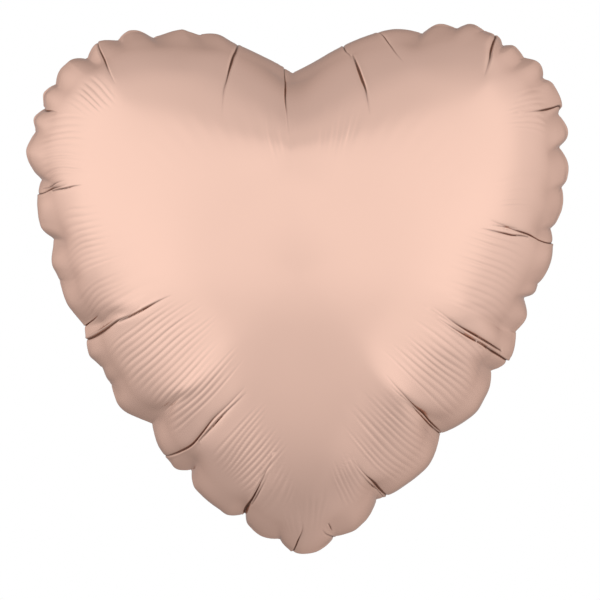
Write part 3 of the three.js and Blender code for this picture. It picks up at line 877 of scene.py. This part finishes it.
def sleeve(name, half, s0, s1, offset, thick, seed, gather=0.0, rows=110, cols=44, weld=3.0):
    s = np.linspace(s0, s1, rows)
    u = np.linspace(-1, 1, cols)
    S, U = np.meshgrid(s, u, indexing="ij")
    y, z, h = neck_line(S)
    x = U * half * (1 - 0.05 * gather * (1 - smooth(0, 22, S)))
    x = x + 0.25 * wobble(S / 22, U * 0.3, seed + 3, 2) * np.abs(U) ** 3
    inner = np.clip((half - np.abs(U * half)) / weld, 0, 1)
    lens = smooth(0, 1, inner)
    # welded sides meet; the middle stands off by the offset, with soft creases along the film
    off = offset * (0.16 + 0.84 * lens)
    soft = 0.20 * wobble(U * half / 17, S / 30, seed, 3) * lens * math.copysign(1, offset) * (0.4 + 0.6 * abs(offset))
    folds_here = 0.34 * gather * (np.abs(np.sin(U * half / 2.1 + 0.5 * np.sin(S / 6))) - 0.5) * (1 - smooth(0, 26, S)) * lens
    ribs = 0.035 * np.sin(S * 2 * np.pi / 1.1) * (1 - lens)
    z = z + 8.2 * U ** 2 * (1 - smooth(0, 30, S))
    off = off + np.clip(soft, -0.2, 0.2) + np.clip(folds_here, -0.2, 0.2) + ribs
    ny, nz = -np.sin(h), np.cos(h)
    rows3 = np.stack([x, y + ny * off, z + nz * off], -1)
    ds = np.gradient(rows3, axis=0)
    du = np.gradient(rows3, axis=1)
    nrm = np.cross(ds, du)
    nrm /= np.linalg.norm(nrm, axis=2)[..., None]
    return thin(name, rows3, nrm, thick)


pieces["neck_front_film"] = sleeve("neck_lower_film", 16.0, 0.4, 88.7, -1.05, 0.16, 11, 1.0)
pieces["neck_rear_film"] = sleeve("neck_upper_film", 16.0, 0.4, 88.3, 1.05, 0.16, 23, 1.0)
pieces["inlet_front_film"] = sleeve("inlet_lower_film", 12.0, 1.5, 86.0, -0.30, 0.12, 31, 0.0, weld=2.5)
pieces["inlet_rear_film"] = sleeve("inlet_upper_film", 12.0, 1.5, 86.0, 0.30, 0.12, 47, 0.0, weld=2.5)


def valve(name, offset, seed):
    rows, cols = 90, 34
    Z, U = np.meshgrid(np.linspace(4.6, 91.5, rows), np.linspace(-1, 1, cols), indexing="ij")
    lens = smooth(0, 1, np.clip((12 - np.abs(U * 12)) / 2.5, 0, 1))
    y = offset * (0.2 + 0.8 * lens) + math.copysign(1, offset) * 0.10 * (1 + wobble(U * 1.1, Z / 26, seed, 3)) * lens
    co = np.stack([U * 11.7 * (1 - 0.02 * smooth(60, 92, Z)), y, Z], -1)
    nrm = np.cross(np.gradient(co, axis=1), np.gradient(co, axis=0))
    nrm /= np.linalg.norm(nrm, axis=2)[..., None]
    return thin(name, co, nrm, 0.12)


pieces["valve_front_film"] = valve("valve_front_sheet", -0.32, 61)
pieces["valve_rear_film"] = valve("valve_rear_sheet", 0.32, 67)


# ------------------------------------------------------------------ materials
def nodes_of(name):
    m = bpy.data.materials.new(name)
    m.use_nodes = True
    m.node_tree.nodes.clear()
    return m, m.node_tree.nodes, m.node_tree.links


def foil(name, colour, deep, rough, grain=1.0, crimp=False):
    """Satin metallised film: a warm metal whose gloss and tone drift a little, with shade painted into the colour along
    the folds.
    """
    m, N, L = nodes_of(name)
    out = N.new("ShaderNodeOutputMaterial")
    b = N.new("ShaderNodeBsdfPrincipled")
    L.new(b.outputs[0], out.inputs[0])
    b.inputs["Metallic"].default_value = 1.0
    b.inputs["Specular Tint"].default_value = (0.62, 0.56, 0.53, 1)
    co = N.new("ShaderNodeTexCoord")
    drift = N.new("ShaderNodeTexNoise")
    drift.inputs["Scale"].default_value = 14
    drift.inputs["Detail"].default_value = 3
    L.new(co.outputs["Object"], drift.inputs["Vector"])
    speck = N.new("ShaderNodeTexNoise")
    speck.inputs["Scale"].default_value = 900
    speck.inputs["Detail"].default_value = 4
    L.new(co.outputs["Object"], speck.inputs["Vector"])
    tone = N.new("ShaderNodeMix")
    tone.data_type = "RGBA"
    tone.inputs[6].default_value = (*[c * 0.975 for c in colour], 1)
    tone.inputs[7].default_value = (*[min(c * 1.02, 1) for c in colour], 1)
    L.new(drift.outputs[0], tone.inputs[0])
    # painted shade: the fold mask mixes the colour towards the dark brown given as deep
    fold_shade_mask = N.new("ShaderNodeAttribute")
    fold_shade_mask.attribute_name = "fold_shade_mask"
    fold_shade_mix = N.new("ShaderNodeMix")
    fold_shade_mix.data_type = "RGBA"
    fold_shade_mix.inputs[7].default_value = (*deep, 1)
    scale = N.new("ShaderNodeMath")
    scale.operation = "MULTIPLY"
    scale.inputs[1].default_value = FOLD_SHADE_AMOUNT
    L.new(fold_shade_mask.outputs["Fac"], scale.inputs[0])
    L.new(scale.outputs[0], fold_shade_mix.inputs[0])
    L.new(tone.outputs[2], fold_shade_mix.inputs[6])
    L.new(fold_shade_mix.outputs[2], b.inputs["Base Color"])
    r = N.new("ShaderNodeMapRange")
    r.inputs["From Min"].default_value, r.inputs["From Max"].default_value = 0.0, 1.0
    r.inputs["To Min"].default_value, r.inputs["To Max"].default_value = rough - 0.03, rough + 0.03
    L.new(drift.outputs[0], r.inputs["Value"])
    L.new(r.outputs[0], b.inputs["Roughness"])
    bump = N.new("ShaderNodeBump")
    bump.inputs["Strength"].default_value = 0.04 * grain
    bump.inputs["Distance"].default_value = 0.00006
    if crimp:
        wave = N.new("ShaderNodeTexVoronoi")
        wave.inputs["Scale"].default_value = 900
        L.new(co.outputs["Object"], wave.inputs["Vector"])
        L.new(wave.outputs["Distance"], bump.inputs["Height"])
        bump.inputs["Distance"].default_value = 0.0003
        bump.inputs["Strength"].default_value = 0.6
    else:
        L.new(speck.outputs[0], bump.inputs["Height"])
    L.new(bump.outputs[0], b.inputs["Normal"])
    return m


def clear_film(name):
    """Milky clear valve film with faint draw lines."""
    m, N, L = nodes_of(name)
    out = N.new("ShaderNodeOutputMaterial")
    b = N.new("ShaderNodeBsdfPrincipled")
    L.new(b.outputs[0], out.inputs[0])
    b.inputs["Metallic"].default_value = 0.0
    co = N.new("ShaderNodeTexCoord")
    wave = N.new("ShaderNodeTexNoise")
    wave.inputs["Scale"].default_value = 120
    wave.inputs["Detail"].default_value = 5
    stretch = N.new("ShaderNodeMapping")
    stretch.inputs["Scale"].default_value = (3.0, 1.0, 0.25)
    L.new(co.outputs["Object"], stretch.inputs["Vector"])
    L.new(stretch.outputs[0], wave.inputs["Vector"])
    mix = N.new("ShaderNodeMix")
    mix.data_type = "RGBA"
    mix.inputs[6].default_value = (0.74, 0.76, 0.78, 1)
    mix.inputs[7].default_value = (0.88, 0.89, 0.90, 1)
    L.new(wave.outputs[0], mix.inputs[0])
    L.new(mix.outputs[2], b.inputs["Base Color"])
    r = N.new("ShaderNodeMapRange")
    r.inputs["To Min"].default_value, r.inputs["To Max"].default_value = 0.18, 0.34
    L.new(wave.outputs[0], r.inputs["Value"])
    L.new(r.outputs[0], b.inputs["Roughness"])
    bump = N.new("ShaderNodeBump")
    bump.inputs["Strength"].default_value = 0.4
    bump.inputs["Distance"].default_value = 0.0002
    L.new(wave.outputs[0], bump.inputs["Height"])
    L.new(bump.outputs[0], b.inputs["Normal"])
    return m


# the second colour is the dark brown painted as shade into the folds; the amount below scales that painted shade
ROSE, FOLD_SHADE_COLOUR = (0.92, 0.62, 0.50), (0.12, 0.075, 0.058)
FOLD_SHADE_AMOUNT = 0.85
front_skin = foil("rose_gold_foil_front", ROSE, FOLD_SHADE_COLOUR, 0.235)
rear_skin = foil("rose_gold_foil_rear", ROSE, FOLD_SHADE_COLOUR, 0.235)
neck_skin = foil("rose_gold_foil_neck", (0.90, 0.61, 0.49), FOLD_SHADE_COLOUR, 0.36, 1.6)
weld_skin = foil("rose_gold_weld", (0.90, 0.64, 0.54), FOLD_SHADE_COLOUR, 0.42, 1.0, True)
valve_skin = clear_film("clear_valve_film")

for name, skin, slot, body in (
        ("front_foil", front_skin, "foil_front", "heart"), ("rear_foil", rear_skin, "foil_rear", "heart"),
        ("edge_seal", weld_skin, "weld", "heart"), ("valve_front_film", valve_skin, "valve_film", "heart"),
        ("valve_rear_film", valve_skin, "valve_film", "heart"), ("neck_front_film", neck_skin, "foil_front", "neck"),
        ("neck_rear_film", neck_skin, "foil_rear", "neck"), ("inlet_front_film", valve_skin, "valve_film", "neck"),
        ("inlet_rear_film", valve_skin, "valve_film", "neck")):
    ob = pieces[name]
    ob.data.materials.append(skin)
    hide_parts(name)
    if body == "heart":
        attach(ob, "heart")
    else:
        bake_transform(ob)


# ------------------------------------------------------------------ floor, light and camera
def floor_piece():
    ring, rim = 64, []
    rings = [0.0, 0.25, 0.55, 0.9, 1.25, 1.4, 1.41]
    co, faces = [(0, 0, -352.0)], []
    for r in rings[1:]:
        drop = 0.0 if r < 1.4 else (2.0 if r < 1.405 else 6.0)
        for k in range(ring):
            a = 2 * math.pi * k / ring
            co.append((r * 1000 * math.cos(a), r * 1000 * math.sin(a), -352.0 - drop))
    for k in range(ring):
        faces.append((0, 1 + k, 1 + (k + 1) % ring))
    for i in range(len(rings) - 2):
        for k in range(ring):
            a, b = 1 + i * ring + k, 1 + i * ring + (k + 1) % ring
            faces.append((a, a + ring, b + ring, b))
    ob = make("floor_disc", np.array(co), faces)
    m, N, L = nodes_of("pale_floor")
    out = N.new("ShaderNodeOutputMaterial")
    b = N.new("ShaderNodeBsdfPrincipled")
    L.new(b.outputs[0], out.inputs[0])
    noise = N.new("ShaderNodeTexNoise")
    noise.inputs["Scale"].default_value = 3
    co = N.new("ShaderNodeTexCoord")
    L.new(co.outputs["Object"], noise.inputs["Vector"])
    mix = N.new("ShaderNodeMix")
    mix.data_type = "RGBA"
    mix.inputs[6].default_value = (0.80, 0.79, 0.78, 1)
    mix.inputs[7].default_value = (0.84, 0.83, 0.82, 1)
    L.new(noise.outputs[0], mix.inputs[0])
    L.new(mix.outputs[2], b.inputs["Base Color"])
    b.inputs["Roughness"].default_value = 0.85
    ob.data.materials.append(m)
    ob.visible_glossy = False


floor_piece()
# Brightness by the angle away from straight in front, degrees, towards each side.
LIGHT = {
    "right": ((0, 1.041), (20, 0.976), (35, 1.038), (52, 1.07), (66, 1.026), (80, 0.865), (95, 0.673), (115, 0.508), (135, 0.398), (155, 0.387), (180, 0.6)),
    "left": ((0, 1.014), (20, 0.97), (35, 1.048), (50, 1.058), (72, 1.061), (90, 1.038), (104, 0.927), (118, 0.686), (138, 0.449), (155, 0.442), (180, 0.6)),
    "up": ((0, 0.998), (20, 0.904), (38, 0.86), (46, 0.834), (52, 0.79), (70, 0.827), (90, 0.665), (110, 0.456), (135, 0.384), (155, 0.481), (180, 0.6)),
    "down": ((0, 1.01), (12, 0.794), (30, 0.807), (45, 0.756), (60, 0.624), (80, 0.497), (100, 0.305), (120, 0.181), (140, 0.208), (155, 0.341), (180, 0.6)),
}
world = bpy.data.worlds.new("studio")
bpy.context.scene.world = world
world.use_nodes = True
N, L = world.node_tree.nodes, world.node_tree.links
N.clear()
out = N.new("ShaderNodeOutputWorld")
back = N.new("ShaderNodeBackground")
co = N.new("ShaderNodeTexCoord")
xyz = N.new("ShaderNodeSeparateXYZ")
L.new(co.outputs["Generated"], xyz.inputs[0])


def math_node(op, a, b=None, clamp=False, c=None):
    n = N.new("ShaderNodeMath")
    n.operation = op
    n.use_clamp = clamp
    for k, v in enumerate((a, b, c)):
        if v is None:
            continue
        if isinstance(v, (int, float)):
            n.inputs[k].default_value = v
        else:
            L.new(v, n.inputs[k])
    return n.outputs[0]


# A big soft screen in front of the balloon and to its sides, a dimmer ceiling, floor and rear wall.
dx, dy, dz = xyz.outputs
away = math_node("DIVIDE", math_node("ARCCOSINE", math_node("MULTIPLY", dy, -1.0)), math.pi)
xx, zz = math_node("MULTIPLY", dx, dx), math_node("MULTIPLY", dz, dz)
ring = math_node("MAXIMUM", math_node("ADD", xx, zz), 1e-5)
total = None
for name, axis, sign in (("right", dx, 1), ("left", dx, -1), ("up", dz, 1), ("down", dz, -1)):
    ramp = N.new("ShaderNodeValToRGB")
    ramp.color_ramp.interpolation = "LINEAR"
    L.new(away, ramp.inputs[0])
    while len(ramp.color_ramp.elements) > 1:
        ramp.color_ramp.elements.remove(ramp.color_ramp.elements[0])
    for k, (deg, v) in enumerate(LIGHT[name]):
        e = ramp.color_ramp.elements[0] if k == 0 else ramp.color_ramp.elements.new(0.5)
        e.position = deg / 180
        e.color = (v, v, v, 1)
    toward = math_node("MAXIMUM", math_node("MULTIPLY", axis, float(sign)), 0.0)
    share = math_node("DIVIDE", math_node("MULTIPLY", toward, toward), ring)
    part = math_node("MULTIPLY", share, ramp.outputs[0])
    total = part if total is None else math_node("ADD", total, part)
# A darker ceiling panel with clean edges, and a dim patch low in front.
safe = math_node("MAXIMUM", dz, 0.05)
cx = math_node("ABSOLUTE", math_node("ADD", math_node("DIVIDE", dx, safe), 0.10))
in_x = math_node("MULTIPLY_ADD", cx, -18.0, clamp=True, c=12.3)
in_y = math_node("MULTIPLY_ADD", math_node("DIVIDE", dy, safe), 14.0, clamp=True, c=11.4)
above = math_node("MULTIPLY_ADD", dz, 8.0, clamp=True, c=-1.0)
panel = math_node("MULTIPLY", math_node("MULTIPLY", in_x, in_y), above)
side_angle = math_node("ABSOLUTE", math_node("ARCTAN2", dx, math_node("MULTIPLY", dy, -1.0)))
in_a = math_node("MULTIPLY_ADD", side_angle, -8.0, clamp=True, c=3.4)
below = math_node("MULTIPLY_ADD", dz, -7.0, clamp=True, c=-0.7)
patch = math_node("MULTIPLY", in_a, below)
near_top = math_node("MULTIPLY_ADD", dz, 2.5, clamp=True, c=-0.6)
total = math_node("MULTIPLY", total, math_node("ADD", math_node("MULTIPLY_ADD", panel, -0.17, c=1.0), math_node("MULTIPLY", near_top, 0.07)))
total = math_node("MULTIPLY", total, math_node("MULTIPLY_ADD", patch, -0.07, c=1.015))
# The low left is dimmer, away from the front.
low_left = math_node("MULTIPLY", math_node("MAXIMUM", math_node("MULTIPLY", dx, -1.0), 0.0), math_node("MAXIMUM", math_node("MULTIPLY", dz, -1.0), 0.0))
low_left = math_node("MULTIPLY", math_node("DIVIDE", math_node("MULTIPLY", low_left, 2.0), ring), math_node("MULTIPLY_ADD", away, 6.0, clamp=True, c=-2.3))
total = math_node("MULTIPLY", total, math_node("MULTIPLY_ADD", low_left, -0.24, c=1.0))
back.inputs["Color"].default_value = (1.0, 0.985, 1.0, 1)
L.new(total, back.inputs["Strength"])
paper = N.new("ShaderNodeBackground")
paper.inputs["Color"].default_value = (1, 1, 1, 1)
path = N.new("ShaderNodeLightPath")
choose = N.new("ShaderNodeMixShader")
L.new(path.outputs["Is Camera Ray"], choose.inputs[0])
L.new(back.outputs[0], choose.inputs[1])
L.new(paper.outputs[0], choose.inputs[2])
L.new(choose.outputs[0], out.inputs[0])

camera = bpy.data.cameras.new("camera")
camera.lens, camera.sensor_width = 135.0, 36.0
camera.clip_start, camera.clip_end = 0.05, 20
eye = bpy.data.objects.new("camera", camera)
eye.location = (VIEW_X * MM, -CAMERA_AWAY * MM, VIEW_Z * MM)
eye.rotation_euler = (math.pi / 2, 0, 0)
bpy.context.scene.collection.objects.link(eye)
bpy.context.scene.camera = eye
bpy.context.scene.view_settings.view_transform = "Standard"
bpy.context.scene.view_settings.look = "None"
